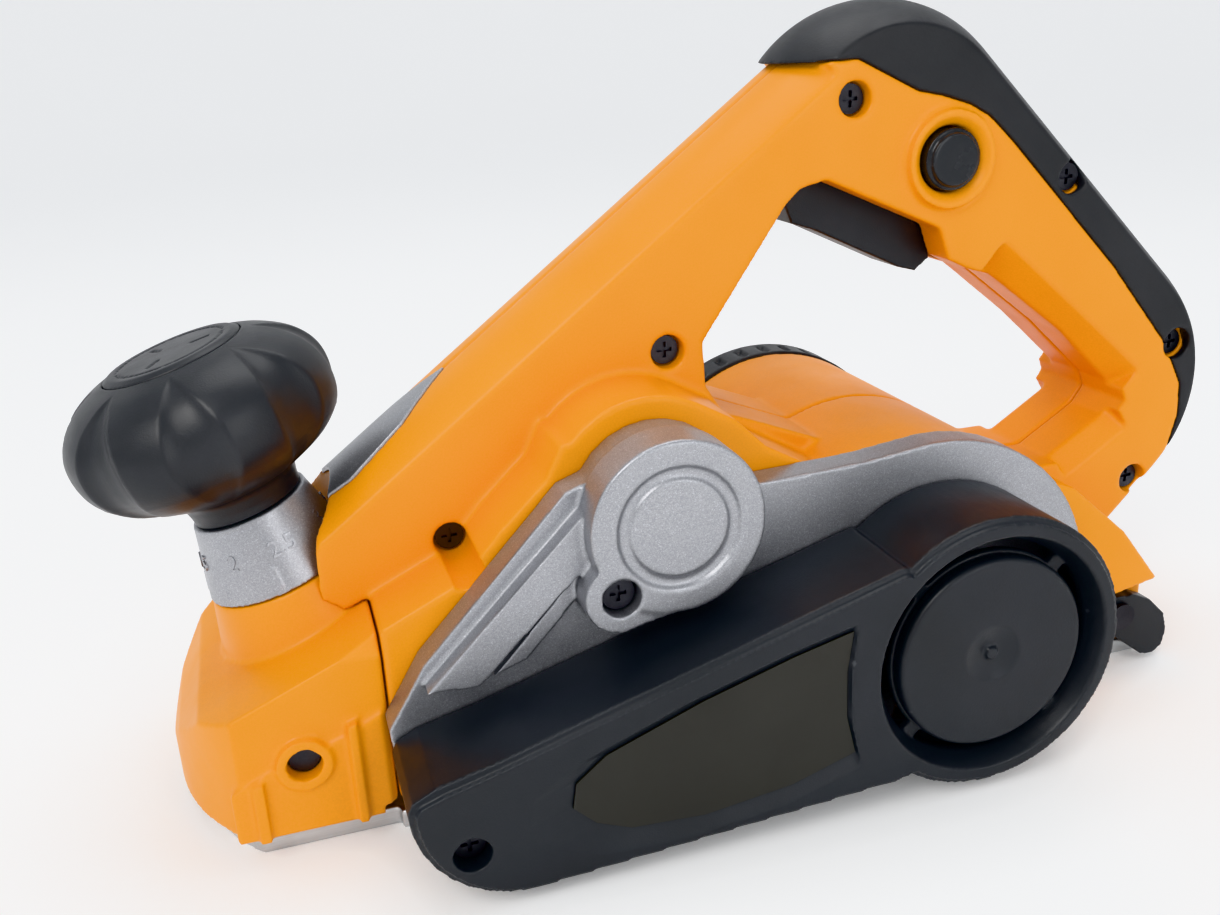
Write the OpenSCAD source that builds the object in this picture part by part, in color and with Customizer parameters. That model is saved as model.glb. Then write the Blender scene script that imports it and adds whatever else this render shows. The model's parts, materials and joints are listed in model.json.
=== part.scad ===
// Electric hand planer for an 82 mm wide cut. X runs from the front knob to the rear grip,
// Y runs from the belt side (minus) to the motor vent side (plus), Z is up, soles on Z = 0.

/* [Soles] */
// width of the two soles
sole_w = 82; // [80:1:84]
// thickness of the sole castings at the edge
sole_t = 5; // [4:0.5:6]

/* [Cutter drum] */
// radius of the circle swept by the blade edges
cut_r = 24.3; // [23.5:0.1:24.5]
// radius of the drum body
drum_r = 22.6; // [21:0.2:23]

/* [Depth knob] */
// forward lean of the knob axis in degrees
knob_lean = 17; // [12:1:19]
// radius of the knob at its widest
knob_r = 33; // [29:1:34]
// number of finger flutes around the knob
flutes = 8; // [6:1:12]

/* [Motor] */
// outer radius of the motor barrel
barrel_r = 44; // [43:0.5:45]
// radius of the armature core
core_r = 17; // [15:0.5:18]

/* [Handle] */
// overall width of the handle
grip_w = 40; // [38:1:42]
// radius of the crowned back of the handle
crown_r = 34; // [30:1:40]

/* [Belt drive] */
// pitch radius of the pulley on the motor
motor_pulley_r = 9; // [8.5:0.25:9.5]
// pitch radius of the pulley on the drum
drum_pulley_r = 10.5; // [10:0.25:11]

/* [Hidden] */
$fn = 64;

yellow = [1.0, 0.62, 0.08];
black = [0.10, 0.10, 0.11];
silver = [0.70, 0.71, 0.72];
steel = [0.62, 0.63, 0.65];
alu = [0.78, 0.79, 0.80];
copper = [0.72, 0.40, 0.18];

ov = 1;                          // how far a cutting tool runs past the face it cuts
lap = 0.3;                       // overlap of joined lengths
gap = 0.3;                       // air between neighbouring pieces
half_w = sole_w / 2;
hw = grip_w / 2;
drum_x = -52;
drum_z = 24.6;
motor_x = 55;
motor_z = 38;
boss_x = -18.5;                  // axis of the crosswise chip duct
boss_z = 77.5;
boss_r = 21;
flange_in = -41.3;               // frame casting, from the body side to the cover side
flange_out = -50;
cover_back = -50.3;
cover_face = -78;
right_wall = 47;
bear_w = 8;
shaft_r = 6;
stub_r = 4.8;                    // shaft ends that carry the pulleys
stub_end = -69.6;

// ---------- helpers ----------
// extrude a shape drawn in X and Z from y0 up to y1
module xz(y0, y1) {
  translate([0, y1, 0]) rotate([90, 0, 0]) linear_extrude(height = y1 - y0) children();
}

// cylinder lying along Y
module ycyl(x, z, r, y0, y1) {
  translate([x, y1, z]) rotate([90, 0, 0]) cylinder(r = r, h = y1 - y0);
}

// cone lying along Y
module ycone(x, z, ra, rb, y0, y1) {
  translate([x, y0, z]) rotate([-90, 0, 0]) cylinder(r1 = ra, r2 = rb, h = y1 - y0);
}

module ytube(x, z, ro, ri, y0, y1) {
  difference() {
    ycyl(x, z, ro, y0, y1);
    ycyl(x, z, ri, y0 - ov, y1 + ov);
  }
}

function arc(x, z, r, a0, a1, n) = [for (i = [0:n]) let (a = a0 + (a1 - a0) * i / n)
  [x + r * cos(a), z + r * sin(a)]];

// ---------- handle outline ----------
top_x = 60;
top_z = 151.5;
top_r = 37.1;
tail_x = 121.5;
tail_z = 80;
tail_r = 44.2;
arm_a = 36.5;                    // slope of the front arm
arm_x0 = -94;
arm_z0 = 79.5;
arm_len = 176;

// outer edge of the handle seen from the side, moved inwards by d
function handle_edge(d) = concat(
  [[-86, 54.2], [-97.5 + d, 49.6], [-98 + d, 60], [-97 + d, 72], [-93.5 + d, 79.9 - d]],
  [[30 + d * 0.4, 171.6 - d * 1.2]],
  arc(top_x, top_z, top_r - d, 124, 45, 12),
  arc(tail_x, tail_z, tail_r - d, 45, -45, 12),
  [[137, 29.5 - d], [124, 20], [60, 30], [-40, 50]]);

module opening_2d(d) {
  polygon(concat(
    [[9.5 + d, 89 + d], [4.5 + d, 97 + d], [4 + d, 108.5], [27 + d, 141 - d], [31 + d, 144.5 - d]],
    [[38, 146 - d], [71, 131 - d], [74, 122.5 - d], [80, 119.5 - d]],
    [[92 - d, 115.5 - d], [115 - d, 97.5 - d], [133.5 - d, 80 - d], [135.5 - d, 75],
    [132 - d, 70 + d], [114 - d, 59 + d]], arc(motor_x, motor_z, barrel_r - 2 + d, 30, 112, 10),
    [[22, 84 + d]]));
}

module handle_2d(d) {
  difference() {
    polygon(handle_edge(d));
    opening_2d(-d);
  }
}

// cross-section of the crowned back: u = 0 on the crown, v across the handle
module crown_2d(d) {
  intersection() {
    translate([-70, -hw - ov]) square([70 - d, 2 * (hw + ov)]);
    translate([-crown_r, 0]) circle(r = crown_r - d, $fn = 90);
  }
}

module crown_bend(x, z, r, a0, a1, d) {
  translate([x, 0, z]) rotate([90, 0, 0]) rotate([0, 0, a0]) rotate_extrude(angle = a1 - a0, $fn = 120)
    intersection() {
      translate([r, 0]) crown_2d(d);
      translate([0, -hw - 2 * ov]) square([r + 1, 2 * hw + 4 * ov]);
    }
}

// a straight crowned length from p to q
module crown_line(p, q, d) {
  v = [q[0] - p[0], q[1] - p[1]];
  a = atan2(v[1], v[0]);
  translate([p[0], 0, p[1]]) rotate([0, -a, 0]) rotate([90, 0, 90])
    linear_extrude(height = norm(v)) rotate([0, 0, 90]) crown_2d(d);
}

// chamfer tool along an edge of the opening on both sides of the handle
module edge_cut(p, q, c) {
  v = [q[0] - p[0], q[1] - p[1]];
  for (s = [-1, 1]) translate([p[0], s * hw, p[1]]) rotate([0, -atan2(v[1], v[0]), 0])
    rotate([45, 0, 0]) translate([0, -c, -c]) cube([norm(v), 2 * c, 2 * c]);
}

// ends of the straight runs of the back
e1 = [top_x + top_r * cos(45), top_z + top_r * sin(45)];
e2 = [tail_x + tail_r * cos(45), tail_z + tail_r * sin(45)];
e3 = [tail_x + tail_r * cos(45), tail_z - tail_r * sin(45)];
e4 = [e3[0] - 30, e3[1] - 30];

module handle_solid(d) {
  difference() {
    handle_blank(d);
    edge_cut([86, 120], [134, 78.5], 5.6);
    edge_cut([134, 71.5], [114, 59], 4);
  }
}

// top bend, straight run and tail bend; the run stands a hair proud of the bends
module back_runs(d, front) {
  step = [lap / 6, lap / 6];
  crown_bend(top_x, top_z, top_r, 45, front, d);
  crown_line(e1 + [-lap, lap] + step, e2 + [lap, -lap] + step, d);
  crown_bend(tail_x, tail_z, tail_r, -45, 45, d);
}

// crowned back of the front arm
module arm_run(d) {
  crown_line([arm_x0 - 18, arm_z0 - 18 * tan(arm_a)], [arm_x0 + arm_len * cos(arm_a),
    arm_z0 + arm_len * sin(arm_a)], d);
}

module handle_blank(d) {
  intersection() {
    xz(-hw + d, hw - d) handle_2d(d);
    union() {
      arm_run(d);
      back_runs(d, 135);
      crown_line(e3 + [lap, lap] + [lap / 6, -lap / 6], e4, d);
      xz(-hw - ov, hw + ov) polygon([[-90, 40], [-90, 62], [0, 128], [50, 150], [60, 156],
        [110, 118], [130, 84], [136, 60], [134, 40], [60, 20]]);
    }
  }
}

// side view of the soft grip: back of the handle down to its lower edge
module grip_band_2d() {
  polygon([[22, 173], [38, 202], [120, 202], [190, 120], [190, 50], [147, 44], [152.5, 58],
    [155, 68], [154.5, 78], [147.5, 91], [127, 115.5], [108.5, 134.5], [92, 151.5], [84, 158.8],
    [78, 162], [70, 164.5], [63, 166], [46, 174.4], [36, 174]]);
}

skin = 3;

// crowned back of the handle on its own, from the front lip to the tail
module back_sweep(d) {
  intersection() {
    back_runs(d, 150);
    translate([0, -hw + d, 0]) cube([200, 2 * (hw - d), 220]);
  }
}

module grip_cover() {
  color(black) difference() {
    intersection() {
      back_sweep(0);
      xz(-hw - ov, hw + ov) grip_band_2d();
    }
    back_sweep(skin);
    for (p = [well_pos[3], well_pos[4]]) ycyl(p[0], p[1], 4.4, -hw - ov, -hw + 8);
    rear_inlet(10.4);
  }
}

// screw wells in the belt side half: x, z, seat depth below the face
well_pos = [[-64.5, 66], [-5.5, 107], [45.5, 165], [111, 141], [151.5, 90.5], [141, 50]];
button_x = 72.4;
button_z = 148.7;

// ---------- body ----------
module body_2d() {
  polygon(concat([[-86, 6], [-86, 55], [-66, 64], [-56, 75], [-44, 86], [-40, 94]],
    arc(boss_x, boss_z, boss_r + 4.5, 140, 60, 8),
    [[4, 94], [12, 86]], arc(motor_x, motor_z, barrel_r - 0.8, 122, 42, 10),
    [[104, 60], [122, 44], [136, 26], [136.5, 6]]));
}

module drum_bay(y0, y1) {
  ycyl(drum_x, drum_z, 27, y0, y1);
  xz(y0, y1) polygon([[drum_x - 27, -ov], [drum_x - 27, drum_z], [drum_x + 24, drum_z + 12],
    [drum_x + 21, -ov]]);
}

module chip_way(y1) {
  ycyl(boss_x, boss_z, 16.5, -38.5, y1);
  xz(-38.5, 38.5) polygon([[-64, 46], [-36, 74], [-12, 62], [-30, 36]]);
}

module motor_bay() {
  intersection() {
    ycyl(motor_x, motor_z, barrel_r - 3.2, -38, 53);
    translate([-20, -60, 7.6]) cube([200, 120, 120]);
  }
}

module shell_solid() {
  union() {
    xz(-half_w, right_wall - 6) body_2d();
    handle_core();
    intersection() {
      ycyl(motor_x, motor_z, barrel_r, -half_w, 52);
      translate([-20, -60, 6]) cube([200, 120, 120]);
    }
    // side plate that closes the drum bay, with its bearing seat
    xz(half_w - ov, right_wall) polygon([[-86, 6], [-86, 48], [-60, 60], [-24, 60], [-12, 42], [-12, 6]]);
    ycyl(drum_x, drum_z + 2, 20, half_w - ov, 50);
    ycyl(button_x, button_z, 12.5, -hw - 2.4, hw + 2.4);
  }
}

module handle_core() {
  difference() {
    handle_solid(0);
    difference() {
      xz(-hw - ov, hw + ov) grip_band_2d();
      handle_blank(skin + 0.1);
    }
  }
}

module rear_inlet(r) {
  translate([150, 7, 66]) rotate([0, 90, 0]) cylinder(r = r, h = 30);
}

module shell_cuts() {
  drum_bay(-half_w - ov, half_w + 0.5);
  chip_way(half_w + ov);
  motor_bay();
  xz(-hw + 5, hw - 5) handle_cavity_2d();
  xz(-8.5, 8.5) polygon([[28, 138], [32, 149], [38.5, 156.5], [80.5, 137.4], [79, 122], [76, 115]]);
  ycyl(button_x, button_z, 8.4, -hw - 4, hw + 4);
  rear_inlet(8.1);
  // open pocket between the soles and the motor, so the walls stay even
  xz(-36, 36) polygon([[-22, 9], [-22, 40], [4, 52], [16, 22], [30, 9]]);
  xz(-36, 36) polygon([[92, 9], [96, 28], [104, 48], [113, 42], [113, 9]]);
  ycyl(drum_x, drum_z, 13.02, half_w - ov, 49);
  ycyl(drum_x, drum_z, 9, half_w, 51);
  foot_room();
  // room for the lift of the front sole
  translate([-90, -half_w - ov, -ov]) cube([20, sole_w + 9, 9 + ov]);
  on_knob(-90) cylinder(r = 8.2, h = 56);
  // room for the pedestal and the turning ring
  intersection() {
    on_knob(-52) cylinder(r1 = 29.3, r2 = 19.3, h = 34);
    translate([-150, -45, 20]) cube([63.8, 90, 70]);
  }
  ring_sweep();
  difference() {
    inlay_leaf(0.1);
    arm_run(1.1);
  }
  for (p = shoe_screw_pos) translate([p[0], p[1], 0]) cylinder(r = 2.07, h = 7.05);
}

// space swept by the turning ring
module ring_sweep() {
  on_knob(-19) cylinder(r = 21, h = 25);
}

module handle_cavity_2d() {
  intersection() {
    polygon([[-60, 89], [-38, 96], [-18.5, 99.5], [0, 104], [30, 146], [72, 126], [94, 117], [118, 98],
      [124, 84], [118, 62], [142, 60], [156, 76], [146, 94], [122, 124], [96, 149], [76, 166],
      [56, 174], [36, 162], [-30, 111]]);
    difference() {
      handle_2d(6);
      // posts for the handle screws
      for (p = well_pos) circle_at(p, 6.2);
    }
  }
}

module foot_room() {
  xz(-half_w - ov, -33.5) polygon([[117.2, -ov], [117.2, 24], [138, 28], [138, -ov]]);
}

// ring that holds the stator, cut off above the sole
module stator_rib(y0, y1) {
  intersection() {
    ytube(motor_x, motor_z, 42, 30.05, y0, y1);
    translate([-20, -60, 6.8]) cube([200, 120, 120]);
  }
}

module left_shell() {
  color(yellow) stator_rib(-11, -8);
  color(yellow) difference() {
    intersection() {
      shell_solid();
      translate([-200, -60, 0]) cube([400, 59.95, 220]);
    }
    shell_cuts();
    // deep wells for the handle screws
    for (p = well_pos) {
      ycyl(p[0], p[1], 4.4, -half_w - ov, -hw + 6);
      ycyl(p[0], p[1], 1.9, -hw, ov);
    }
    ycone(button_x, button_z, 11, 8.4, -hw - 2.5, -hw);
    ycyl(foot_x, foot_z, 2.52, -half_w - ov, -27.5);
    // way for the fan air
    ycyl(motor_x, motor_z, 29.5, -half_w - ov, -37);
  }
}

module right_shell() {
  color(yellow) {
    stator_rib(12, 15);
    for (a = end_a) difference() {
      translate([0, -2.5, 0]) end_screw_at(a) cylinder(r = 4.6, h = 10);
      end_screw_at(a) cylinder(r = 1.4, h = 12);
    }
  }
  color(yellow) difference() {
    intersection() {
      union() {
        shell_solid();
        ytube(boss_x, boss_z, boss_r + 1, 16.5, half_w - ov, 46);
      }
      translate([-200, 0.05, 0]) cube([400, 70, 220]);
    }
    shell_cuts();
    for (p = well_pos) ycyl(p[0], p[1], 1.52, -ov, 11);
    ycyl(boss_x, boss_z, 16.5, 0, 48);
    ycone(button_x, button_z, 8.4, 11, hw, hw + 2.5);
    ycyl(boss_x, boss_z, boss_r + 2.3, 46, 60);
    brush_windows();
  }
}

module brush_windows() {
  for (s = [-1, 1]) translate([motor_x, 34, motor_z]) rotate([0, s * 90 - 25, 0])
    translate([0, 0, 17]) cylinder(r = 6.15, h = 40);
}

end_a = [25, 90, 155];

module end_screw_at(a) {
  translate([motor_x + 38.5 * cos(a), 44.5, motor_z + 38.5 * sin(a)]) rotate([-90, 0, 0])
    children();
}

// ---------- front housing and shoe ----------
nose_r = 60;
nose_x = -138.5;

module nose_plan(d) {
  intersection() {
    translate([nose_x + nose_r, 0]) circle(r = nose_r - d, $fn = 128);
    translate([-150, -half_w + d]) square([64, sole_w - 2 * d]);
  }
  translate([-112, -half_w + d]) square([25.5, sole_w - 2 * d]);
}

module housing_side(d) {
  polygon([[nose_x - ov, 6], [nose_x - ov, 16 - d], [-136 + d, 26 - d * 0.6],
    [-130 + d, 34.5 - d], [-122, 38.6 - d], [-86.5, 53.5 - d], [-86.5, 6]]);
}

module housing_front(d) {
  polygon([[-half_w + d, 0], [-half_w + d, 49], [-half_w + 2.5 + d, 52], [-28, 62 - d],
    [28, 62 - d], [half_w - 2.5 - d, 52], [half_w - d, 49], [half_w - d, 0]]);
}

module housing_block(d) {
  intersection() {
    xz(-half_w, half_w) housing_side(d);
    linear_extrude(height = 90) nose_plan(d);
    translate([-150, 0, 0]) rotate([90, 0, 90]) linear_extrude(height = 70) housing_front(d);
  }
}

knob_x = -111;                   // point of the knob axis at the top of the scale ring
knob_z = 75.5;

module on_knob(s) {
  translate([knob_x, 0, knob_z]) rotate([0, -knob_lean, 0]) translate([0, 0, s]) children();
}

module front_housing() {
  color(yellow) difference() {
    union() {
      housing_block(0);
      intersection() {
        on_knob(-52) cylinder(r1 = 29, r2 = 19, h = 34);
        translate([-140, -40, 20]) cube([53.5, 80, 60]);
      }
      // side ribs and the round screw boss
      for (x = [-119.7, -96.5]) for (s = [-1, 1]) {
        xz(s > 0 ? half_w - ov : -half_w - 2.8, s > 0 ? half_w + 2.8 : -half_w + ov)
          polygon([[x, 6], [x, x < -100 ? 22 : 33], [x + 2.8, x < -100 ? 22.5 : 34], [x + 2.8, 6]]);
      }
      for (s = [-1, 1]) ycyl(-107, 25, 6.6, s > 0 ? half_w - ov : -half_w - 2.2,
        s > 0 ? half_w + 2.2 : -half_w + ov);
      for (s = [-1, 1]) xz(s > 0 ? half_w - ov : -half_w - 1.2, s > 0 ? half_w + 1.2 : -half_w + ov)
        polygon([[-124.7, 6], [-124.7, 20], [-115, 24.6], [-97, 30], [-88, 34.4], [-88, 6]]);
    }
    difference() {
      intersection() {
        housing_block(3);
        translate([-150, -60, 0]) cube([150, 120, 60]);
      }
      on_knob(-60) cylinder(r = 12, h = 60);
    }
    translate([-200, -60, -ov]) cube([200, 120, 6.6 + ov]);
    linear_extrude(height = 12.5) nose_plan(2.6);
    on_knob(-90) cylinder(r = 4.3, h = 90);
    on_knob(-90) cylinder(r = 10.4, h = 43);
    // room for the lift of the front sole
    translate([-90, -60, -ov]) cube([10, 120, 9 + ov]);
    on_knob(-18.25) cylinder(r = 10.2, h = 10);
    for (s = [-1, 1]) ycyl(-107, 25, 4.1, s > 0 ? half_w - 4 : -half_w - 3,
      s > 0 ? half_w + 3 : -half_w + 4);
    ycyl(-107, 25, 1.6, -half_w - ov, half_w + ov);
  }
}

module front_shoe() {
  x1 = drum_x - 19.8;
  color(alu) difference() {
    union() {
      linear_extrude(height = sole_t) intersection() {
        union() {
          translate([1.3, 0]) nose_plan(3);
          translate([-100, -half_w + 3]) square([x1 + 100, sole_w - 6]);
        }
        translate([-150, -50]) square([x1 + 150, 100]);
      }
      // lip that runs under the body up to the mouth
      translate([-86.2, -half_w + 0.4, 0]) cube([x1 + 86.2, sole_w - 0.8, sole_t]);
      intersection() {
        on_knob(-80) cylinder(r = 7, h = 28.5);
        translate([-150, -50, 1]) cube([100, 100, 60]);
      }
      for (s = [-1, 1]) translate([-118, s * 22 - 2, sole_t - ov]) cube([30, 4, 5.5 + ov]);
    }
    on_knob(-73) cylinder(r = 4.06, h = 30);
    // shallow grooves for chamfering edges, pointing along the sole
    for (y = [-8, 8]) translate([-150, y, 0]) rotate([45, 0, 0]) translate([0, -1.1, -1.1])
      cube([90, 2.2, 2.2]);
    translate([-150, 0, 0]) rotate([45, 0, 0]) translate([0, -1.8, -1.8]) cube([90, 3.6, 3.6]);
  }
}

module rear_shoe() {
  x0 = drum_x + 17.2;
  color(alu) difference() {
    union() {
      translate([x0, -half_w + 0.4, 0]) cube([136.5 - x0, sole_w - 0.8, sole_t]);
      for (p = shoe_screw_pos) translate([p[0], p[1], 1]) cylinder(r = 7, h = 4.95);
    }
    for (p = shoe_screw_pos) translate([p[0], p[1], -ov]) {
      cylinder(r = 2.25, h = 20);
      cylinder(r1 = 5.6, r2 = 2.25, h = 4.2);
    }
    translate([117, -half_w - ov, -ov]) cube([30, 8.6, sole_t + 2 * ov]);
    for (y = [-26, 26]) translate([x0 + 14, y - 0.8, -ov]) cube([95, 1.6, 0.7 + ov]);
  }
}

shoe_screw_pos = [[-24, -33], [-24, 33], [50, -30], [50, 30], [112, -26], [112, 30]];

module shoe_screws() {
  color(steel) for (p = shoe_screw_pos) translate([p[0], p[1], 0.5]) difference() {
    union() {
      cylinder(r1 = 4.4, r2 = 2.1, h = 2.6);
      cylinder(r = 2.05, h = 6.5);
    }
    cylinder(r = 1.4, h = 2.4, center = true, $fn = 6);
  }
}

// ---------- depth knob ----------
module depth_knob() {
  color(black) on_knob(0) difference() {
    rotate_extrude($fn = 96) polygon(concat([[4.2, 2], [13.8, 2], [14.3, 3], [14.6, 6], [16, 8.6]],
      [[21, 10.5], [27, 13.4]], arc_knob(), [[26.5, 39.2], [22, 41.4], [17.4, 42.8], [17.2, 41],
      [4.2, 41]]));
    // seat of the spindle head
    translate([0, 0, 32.9]) cylinder(r = 7.6, h = 10, $fn = 6);
    for (i = [0:flutes - 1]) rotate([0, 0, 360 / flutes * (i + 0.5)]) translate([knob_r - 12.5, 0, 26])
      rotate([90, 0, 0]) rotate([0, 0, -62]) rotate_extrude(angle = 135, $fn = 96)
        translate([12.6 + 10 - 1.5, 0]) circle(r = 10, $fn = 48);
  }
}

function arc_knob() = [for (i = [0:8]) let (a = -58 + 116 * i / 8)
  [knob_r - 12.5 + 12.5 * cos(a), 26 + 13 * sin(a)]];

module knob_cap() {
  color(black) on_knob(0) difference() {
    union() {
      translate([0, 0, 41.05]) cylinder(r = 17.05, h = 1.6);
      translate([0, 0, 42.65]) cylinder(r1 = 17.05, r2 = 15.4, h = 0.9);
    }
    // raised arrow ring left between two shallow cuts
    translate([0, 0, 43]) difference() {
      cylinder(r = 13.6, h = 1);
      translate([0, 0, -ov]) cylinder(r = 12.8, h = 3);
    }
    for (a = [0, 120, 240]) rotate([0, 0, a]) translate([5, -0.6, 43]) cube([5, 1.2, 1]);
  }
}

module depth_ring() {
  color(silver) on_knob(0) difference() {
    union() {
      translate([0, 0, -17.6]) cylinder(r1 = 19.3, r2 = 14.6, h = 19.3);
      for (i = [0:7]) rotate([0, 0, i * 45]) rotate([0, 0, 0]) translate([17.6, -0.35, -16.2])
        rotate([0, -13.7, 0]) cube([1.6, 0.7, i % 2 == 0 ? 5.2 : 3.2]);
    }
    translate([0, 0, -20]) cylinder(r = 4.15, h = 30);
    translate([0, 0, -20]) cylinder(r1 = 16.6, r2 = 15.8, h = 6.4);
  }
}

module depth_spindle() {
  color(steel) on_knob(0) {
    translate([0, 0, -68.5]) cylinder(r = 4, h = 102.5);
    translate([0, 0, 33]) cylinder(r = 7.5, h = 6.2, $fn = 6);
  }
}

module detent_washer() {
  color(steel) on_knob(-18.2) difference() {
    union() {
      cylinder(r = 10, h = 0.4);
      for (a = [0:60:300]) rotate([0, 0, a]) translate([7.6, 0, 0]) cylinder(r = 1.2, h = 0.75);
    }
    translate([0, 0, -ov]) cylinder(r = 4.4, h = 4);
  }
}

// ---------- frame casting on the belt side ----------
module frame_2d() {
  polygon(concat(arc(-61, 29, 25.8, 262, 190, 6), [[-87.3, 34], [-84, 39], [-78, 48.6], [-42, 85.6]],
    arc(boss_x, boss_z, boss_r - 0.7, 150, 8, 10), [[34, 81.6]],
    arc(motor_x, motor_z, barrel_r + 1.8, 100, 10, 12), [[95, 20], [80, 8], [60, 5]]));
}

frame_screw = [-32.9, 62.5];

module frame_casting() {
  color(silver) difference() {
    union() {
      xz(flange_out, flange_in) frame_2d();
      // closed end of the chip duct
      ycyl(boss_x, boss_z, boss_r, -61.4, flange_out + ov);
      // raised bar and lug beside the duct
      xz(-55, flange_out + ov) polygon([[-78, 44.5], [-66, 43.6], [-34, 74], [-30, 84], [-38.8, 82.3]]);
      xz(-52.5, flange_out + ov) polygon([[-62, 44.5], [-54, 47], [-36, 66], [-36, 72]]);
      ycyl(frame_screw[0], frame_screw[1], 8.6, -61, flange_out + ov);
      xz(-61, flange_out + ov) polygon([[-41, 60], [-33, 54], [-20, 56.6], [-8, 66], [-24, 66]]);
      // bearing carrier behind the cover
      ycyl(motor_x, motor_z, 17, -56, flange_out + ov);
    }
    // ring groove and dished plate on the end of the duct
    translate([boss_x, -61.4, boss_z]) rotate([90, 0, 0]) difference() {
      translate([0, 0, -1.2]) cylinder(r = 14.8, h = 3);
      translate([0, 0, -1.8]) cylinder(r1 = 12.6, r2 = 11.6, h = 1.5);
    }
    ycyl(boss_x, boss_z, 16.5, -56, flange_in + ov);
    ycyl(drum_x, drum_z, 13.02, -49.2, flange_in + ov);
    ycyl(drum_x, drum_z, 9, -60, flange_in + ov);
    ycyl(motor_x, motor_z, 13.02, -54, flange_in + ov);
    ycyl(motor_x, motor_z, 9, -60, flange_in + ov);
    ycyl(motor_x, motor_z, 31, -45, flange_in + ov);
    ycyl(frame_screw[0], frame_screw[1], 4.6, -62, -55);
    ycyl(frame_screw[0], frame_screw[1], 2.1, -62, flange_in + ov);
    for (p = cover_screw_pos) ycyl(p[0], p[1], 1.7, -60, flange_in + ov);
    // air slots towards the fan
    for (a = [200:28:340]) translate([motor_x, 0, motor_z]) rotate([0, -a, 0])
      translate([19, flange_out - 6, -3]) cube([14, 20, 6]);
  }
}

// ---------- belt cover ----------
ring_r = 35.6;
ring_open = 30;
cover_screw_pos = [[-74.5, 16.5]];

module cover_2d(d) {
  polygon(concat(arc(-61, 29, 26.3 - d, 270, 180, 8), [[-86 + d, 31.5 - d * 0.5], [-81 + d, 34 - d],
    [-68, 37 - d], [30, 65.4 - d], [44, 60], [44, 12], [30, 8 + d]]));
  translate([motor_x, motor_z]) circle(r = ring_r - d, $fn = 128);
}

module belt_cover() {
  color(black) difference() {
    union() {
      xz(-76.5, cover_back) cover_2d(0);
      xz(cover_face, -76) cover_2d(1.5);
    }
    // inside
    xz(-74.6, cover_back + ov) difference() {
      cover_2d(2.6);
      circle_at(cover_screw_pos[0], 6.4);
      circle_at([motor_x, motor_z], ring_r - 2.1);
    }
    xz(-70.2, cover_back + ov) difference() {
      cover_2d(2.6);
      circle_at(cover_screw_pos[0], 6.4);
    }
    // funnel around the vent disc, with slots through its floor
    ycone(motor_x, motor_z, ring_open + 1, ring_open - 1.4, cover_face - 0.1, -72.8);
    difference() {
      ytube(motor_x, motor_z, 28.4, 25.7, -74, -66);
      for (i = [0:3]) translate([motor_x, 0, motor_z]) rotate([0, i * 90 + 45, 0])
        translate([20, -75, -2]) cube([12, 10, 4]);
    }
    // leaf shaped recess for the plate, with a sloping rim that widens to the front and below
    xz(cover_face - ov, cover_face + 1.5) leaf_2d(0.5);
    translate([leaf_mid[0], cover_face + 1.3, leaf_mid[1]]) rotate([90, 0, 0])
      linear_extrude(height = 2.6, scale = 1.28) translate(-leaf_mid) leaf_2d(0.8);
    for (p = cover_screw_pos) {
      ycyl(p[0], p[1], 2.1, cover_face - ov, cover_back + ov);
      ycyl(p[0], p[1], 4.2, cover_face - ov, -71);
    }
  }
}

module circle_at(p, r) {
  translate([p[0], p[1]]) circle(r = r);
}

leaf_mid = [15, 43];              // point that the sloping rim spreads from

module leaf_2d(d) {
  polygon([[-50 - d * 1.4, 28 + d * 0.5], [-43, 33.6 + d], [-20, 42 + d], [2, 48.4 + d],
    [17 + d * 0.6, 52 + d], [15.4 + d, 42], [15.6 + d, 30], [18 + d, 20 - d], [2, 15 - d],
    [-20, 12.4 - d], [-38, 13.6 - d], [-46 - d * 0.8, 17 - d * 0.6], [-51 - d * 1.4, 22]]);
}

module label_plate() {
  color([0.13, 0.13, 0.10]) xz(cover_face + 0.9, cover_face + 1.48) leaf_2d(0.2);
}

module cover_disc() {
  color(black) difference() {
    union() {
      ycone(motor_x, motor_z, 24.2, 25, -76.6, -75.8);
      ycyl(motor_x, motor_z, 25, -75.8, -72.85);
    }
    // shallow dished centre with a small nub
    translate([motor_x, -76.6 - 19.2, motor_z]) sphere(r = 20.6, $fn = 96);
  }
  color(black) ycyl(motor_x, motor_z, 1.6, -76.4, -74.9);
}

module cover_screws() {
  color(steel) {
    for (p = cover_screw_pos) screw_y(p[0], p[1], 3.7, 1.55, -71.02, 26);
    screw_y(frame_screw[0], frame_screw[1], 4, 1.95, -55.02, 12);
  }
}

// pan head screw lying along Y, its head seat at y
module screw_y(x, z, rh, rs, y, len) {
  difference() {
    union() {
      ycyl(x, z, rh, y - 2.6, y);
      ycyl(x, z, rs, y - 0.5, y + len);
    }
    for (a = [0, 90]) translate([x, y - 3, z]) rotate([0, a, 0]) cube([0.9, 2.6, 4], center = true);
  }
}

// ---------- belt drive ----------
belt_y0 = -65.6;
belt_y1 = -58.8;

module grooved(x, z, r, y0, y1) {
  difference() {
    union() {
      ycyl(x, z, r, y0, y1);
      ycyl(x, z, r + 1.5, y0 - 1.2, y0);
      ycyl(x, z, r + 1.5, y1, y1 + 1.2);
    }
    for (i = [0:2]) translate([x, y0 + 0.5 + i * 2.2, z]) rotate([-90, 0, 0])
      rotate_extrude() polygon([[r + 0.5, 0], [r + 0.5, 1.8], [r - 1.1, 0.9]]);
    ycyl(x, z, stub_r + 0.02, y0 - 5, y1 + 5);
  }
}

module motor_pulley() {
  color(steel) grooved(motor_x, motor_z, motor_pulley_r, belt_y0 - 0.2, belt_y1 + 0.2);
}

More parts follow.
